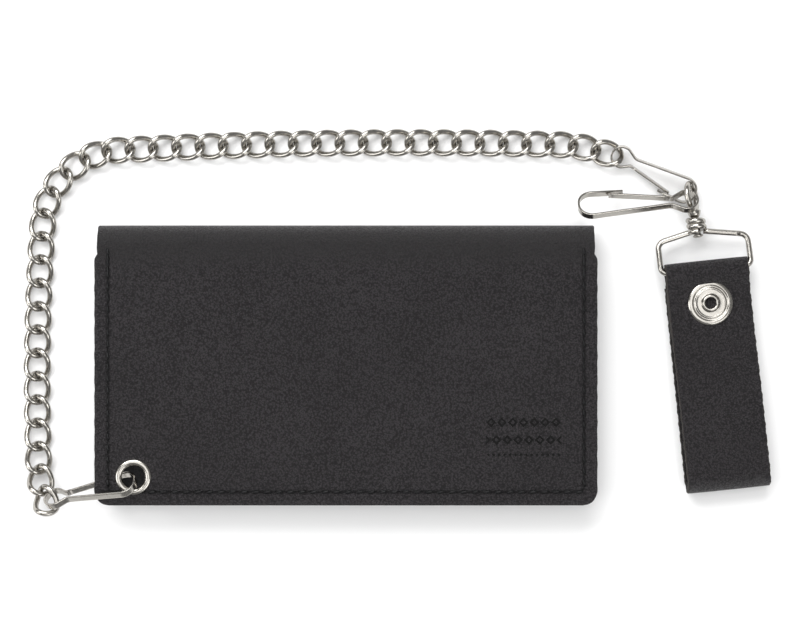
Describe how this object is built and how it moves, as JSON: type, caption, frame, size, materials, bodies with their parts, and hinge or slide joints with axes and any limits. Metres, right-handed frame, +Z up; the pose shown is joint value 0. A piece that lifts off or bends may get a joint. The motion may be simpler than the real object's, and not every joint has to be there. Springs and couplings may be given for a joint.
{
  "type": "chain wallet",
  "caption": "Long leather wallet that folds in two, on a curb chain with spring clips, a swivel, a key clip and a snap belt loop.",
  "frame": {"origin": "centre of the underside of the shut wallet, on the table it lies on", "axes": "+X runs along the fold, away from the grommet; +Y points at the fold; +Z points up from the table"},
  "size_m": [0.2586, 0.1336, 0.0191],
  "materials": {
    "outer_leather": "black pebbled leather, satin",
    "inner_leather": "smooth black leather",
    "nickel": "bright nickel plate",
    "thread": "waxed black thread",
    "zip_tape": "woven black tape",
    "zip_metal": "polished brass",
    "clear_vinyl": "clear soft vinyl"
  },
  "bodies": {
    "front_half": {"cover_front": "outer_leather", "seam_thread_front": "thread", "bill_pocket_front": "inner_leather", "card_slot_1": "inner_leather", "card_slot_2": "inner_leather", "card_slot_3": "inner_leather", "window_frame": "inner_leather", "window_pane": "clear_vinyl", "wallet_snap_caps": "nickel", "wallet_snap_sockets": "nickel", "cover_spine": "outer_leather"},
    "back_half": {"cover_back": "outer_leather", "lining_back": "inner_leather", "pocket_back_wall": "inner_leather", "pocket_front_wall": "inner_leather", "zip_tape": "zip_tape", "zip_teeth": "zip_metal", "seam_thread_back": "thread", "wallet_snap_posts": "nickel", "wallet_snap_studs": "nickel", "grommet": "nickel", "grommet_washer": "nickel"},
    "zip_slider": {"zip_slider": "nickel"},
    "zip_pull": {"zip_pull": "nickel"},
    "wallet_clip": {"wallet_clip": "nickel"},
    "wallet_clip_gate": {"wallet_clip_gate": "nickel"},
    "chain_01": {"chain_01": "nickel"},
    "chain_02": {"chain_02": "nickel"},
    "chain_03": {"chain_03": "nickel"},
    "chain_04": {"chain_04": "nickel"},
    "chain_05": {"chain_05": "nickel"},
    "chain_06": {"chain_06": "nickel"},
    "chain_07": {"chain_07": "nickel"},
    "chain_08": {"chain_08": "nickel"},
    "chain_09": {"chain_09": "nickel"},
    "chain_10": {"chain_10": "nickel"},
    "chain_11": {"chain_11": "nickel"},
    "chain_12": {"chain_12": "nickel"},
    "chain_13": {"chain_13": "nickel"},
    "chain_14": {"chain_14": "nickel"},
    "chain_15": {"chain_15": "nickel"},
    "chain_16": {"chain_16": "nickel"},
    "chain_17": {"chain_17": "nickel"},
    "chain_18": {"chain_18": "nickel"},
    "chain_19": {"chain_19": "nickel"},
    "chain_20": {"chain_20": "nickel"},
    "belt_clip": {"belt_clip": "nickel"},
    "belt_clip_gate": {"belt_clip_gate": "nickel"},
    "swivel_eye": {"swivel_eye": "nickel"},
    "key_clip": {"key_clip": "nickel"},
    "key_clip_gate": {"key_clip_gate": "nickel"},
    "belt_ring": {"belt_ring": "nickel"},
    "strap_front": {"strap_front": "outer_leather", "strap_fold": "outer_leather", "belt_snap_eyelet": "nickel", "belt_snap_stud": "nickel"},
    "strap_back": {"strap_back": "outer_leather", "belt_snap_cap": "nickel", "belt_snap_socket": "nickel"}
  },
  "joints": [
    {"name": "fold", "type": "hinge", "parent": "front_half", "child": "back_half", "pos_m": [0, 0.041, 0.007], "axis": [-1, 0, 0], "range_deg": [0, 180], "deforming": ["cover_spine"]},
    {"name": "zip_run", "type": "slide", "parent": "back_half", "child": "zip_slider", "axis": [1, 0, 0], "range_m": [0, 0.1]},
    {"name": "zip_pull_lift", "type": "hinge", "parent": "zip_slider", "child": "zip_pull", "pos_m": [-0.047, 0.02, 0.00895], "axis": [0, 1, 0], "range_deg": [0, 15]},
    {"name": "clip_swing", "type": "hinge", "parent": "back_half", "child": "wallet_clip", "pos_m": [-0.0727, -0.0383, 0.0132], "axis": [0, 0, 1], "range_deg": [0, 90]},
    {"name": "wallet_clip_gate_press", "type": "hinge", "parent": "wallet_clip", "child": "wallet_clip_gate", "pos_m": [-0.09512, -0.0439, 0.00937], "axis": [-0.2874, 0.7161, 0.6361], "range_deg": [-1, 0], "stiffness_Nm_per_rad": 0.05},
    {"name": "chain_01_turn", "type": "hinge", "parent": "wallet_clip", "child": "chain_01", "pos_m": [-0.09999, -0.04599, 0.00953], "axis": [-0.915, -0.4035, 0], "range_deg": [-8, 2]},
    {"name": "chain_02_turn", "type": "hinge", "parent": "chain_01", "child": "chain_02", "pos_m": [-0.10643, -0.03629, 0.00382], "axis": [0, 0, -1], "range_deg": [-6, 3]},
    {"name": "chain_03_turn", "type": "hinge", "parent": "chain_02", "child": "chain_03", "pos_m": [-0.10724, -0.02032, 0.00243], "axis": [-0.9999, -0.014, 0], "range_deg": [-8, 8]},
    {"name": "chain_04_turn", "type": "hinge", "parent": "chain_03", "child": "chain_04", "pos_m": [-0.10738, -0.00412, 0.00243], "axis": [0, 0, 1], "range_deg": [-6, 6]},
    {"name": "chain_05_turn", "type": "hinge", "parent": "chain_04", "child": "chain_05", "pos_m": [-0.10719, 0.01208, 0.00243], "axis": [0.9996, -0.0279, 0], "range_deg": [-8, 8]},
    {"name": "chain_06_turn", "type": "hinge", "parent": "chain_05", "child": "chain_06", "pos_m": [-0.10665, 0.02827, 0.00243], "axis": [0, 0, -1], "range_deg": [-6, 6]},
    {"name": "chain_07_turn", "type": "hinge", "parent": "chain_06", "child": "chain_07", "pos_m": [-0.10577, 0.04444, 0.00243], "axis": [-0.9976, 0.0698, 0], "range_deg": [-8, 8]},
    {"name": "chain_08_turn", "type": "hinge", "parent": "chain_07", "child": "chain_08", "pos_m": [-0.10187, 0.05982, 0.00243], "axis": [0, 0, 1], "range_deg": [0, 10]},
    {"name": "chain_09_turn", "type": "hinge", "parent": "chain_08", "child": "chain_09", "pos_m": [-0.09067, 0.07082, 0.00243], "axis": [0.3354, -0.9421, 0], "range_deg": [-8, 8]},
    {"name": "chain_10_turn", "type": "hinge", "parent": "chain_09", "child": "chain_10", "pos_m": [-0.07522, 0.07447, 0.00243], "axis": [0, 0, -1], "range_deg": [-6, 6]},
    {"name": "chain_11_turn", "type": "hinge", "parent": "chain_10", "child": "chain_11", "pos_m": [-0.05904, 0.07522, 0.00243], "axis": [-0.0398, 0.9992, 0], "range_deg": [-8, 8]},
    {"name": "chain_12_turn", "type": "hinge", "parent": "chain_11", "child": "chain_12", "pos_m": [-0.04285, 0.07583, 0.00243], "axis": [0, 0, 1], "range_deg": [-6, 6]},
    {"name": "chain_13_turn", "type": "hinge", "parent": "chain_12", "child": "chain_13", "pos_m": [-0.02666, 0.07631, 0.00243], "axis": [0.023, -0.9997, 0], "range_deg": [-8, 8]},
    {"name": "chain_14_turn", "type": "hinge", "parent": "chain_13", "child": "chain_14", "pos_m": [-0.01046, 0.07665, 0.00243], "axis": [0, 0, -1], "range_deg": [-8, 8]},
    {"name": "chain_15_turn", "type": "hinge", "parent": "chain_14", "child": "chain_15", "pos_m": [0.00573, 0.07685, 0.00243], "axis": [-0.0063, 1, 0], "range_deg": [-8, 8]},
    {"name": "chain_16_turn", "type": "hinge", "parent": "chain_15", "child": "chain_16", "pos_m": [0.02193, 0.07692, 0.00243], "axis": [0, 0, 1], "range_deg": [-8, 8]},
    {"name": "chain_17_turn", "type": "hinge", "parent": "chain_16", "child": "chain_17", "pos_m": [0.03813, 0.07685, 0.00243], "axis": [-0.0105, -0.9999, 0], "range_deg": [-8, 8]},
    {"name": "chain_18_turn", "type": "hinge", "parent": "chain_17", "child": "chain_18", "pos_m": [0.05433, 0.07665, 0.00243], "axis": [0, 0, -1], "range_deg": [-8, 8]},
    {"name": "chain_19_turn", "type": "hinge", "parent": "chain_18", "child": "chain_19", "pos_m": [0.07053, 0.07631, 0.00243], "axis": [0.0272, 0.9996, 0], "range_deg": [-8, 8]},
    {"name": "chain_20_turn", "type": "hinge", "parent": "chain_19", "child": "chain_20", "pos_m": [0.08648, 0.07415, 0.00254], "axis": [0, 0, 1], "range_deg": [-8, 8]},
    {"name": "belt_clip_turn", "type": "hinge", "parent": "chain_20", "child": "belt_clip", "pos_m": [0.09269, 0.07269, 0.00291], "axis": [0, 0, 1], "range_deg": [-8, 8]},
    {"name": "belt_clip_gate_press", "type": "hinge", "parent": "belt_clip", "child": "belt_clip_gate", "pos_m": [0.0993, 0.06828, 0.00274], "axis": [0.1667, 0.2822, -0.9448], "range_deg": [-10, 0], "stiffness_Nm_per_rad": 0.05},
    {"name": "swivel_eye_turn", "type": "hinge", "parent": "belt_clip", "child": "swivel_eye", "pos_m": [0.11809, 0.06036, 0.00369], "axis": [0.1667, 0.2822, -0.9448], "range_deg": [-8, 8]},
    {"name": "key_clip_turn", "type": "hinge", "parent": "swivel_eye", "child": "key_clip", "pos_m": [0.11885, 0.06118, 0.00483], "axis": [0.0407, -0.6061, -0.7943], "range_deg": [-8, 5]},
    {"name": "key_clip_gate_press", "type": "hinge", "parent": "key_clip", "child": "key_clip_gate", "pos_m": [0.11141, 0.05735, 0.00694], "axis": [0.0407, -0.6061, -0.7943], "range_deg": [-10, 0], "stiffness_Nm_per_rad": 0.05},
    {"name": "swivel_spin", "type": "hinge", "parent": "swivel_eye", "child": "belt_ring", "pos_m": [0.12098, 0.04777, 0.00557], "axis": [-0.1562, 0.9862, -0.0541], "continuous": true},
    {"name": "strap_hang", "type": "hinge", "parent": "belt_ring", "child": "strap_front", "pos_m": [0.12421, 0.03292, 0.007], "axis": [0.9946, 0.1037, 0], "range_deg": [-20, 20]},
    {"name": "strap_open", "type": "hinge", "parent": "strap_front", "child": "strap_back", "pos_m": [0.13161, -0.0381, 0.0052], "axis": [-0.9946, -0.1037, 0], "range_deg": [0, 45], "deforming": ["strap_fold"]}
  ],
  "couplings": [
    {"joint": "clip_swing", "follows": "fold", "ratio": 0.5}
  ]
}
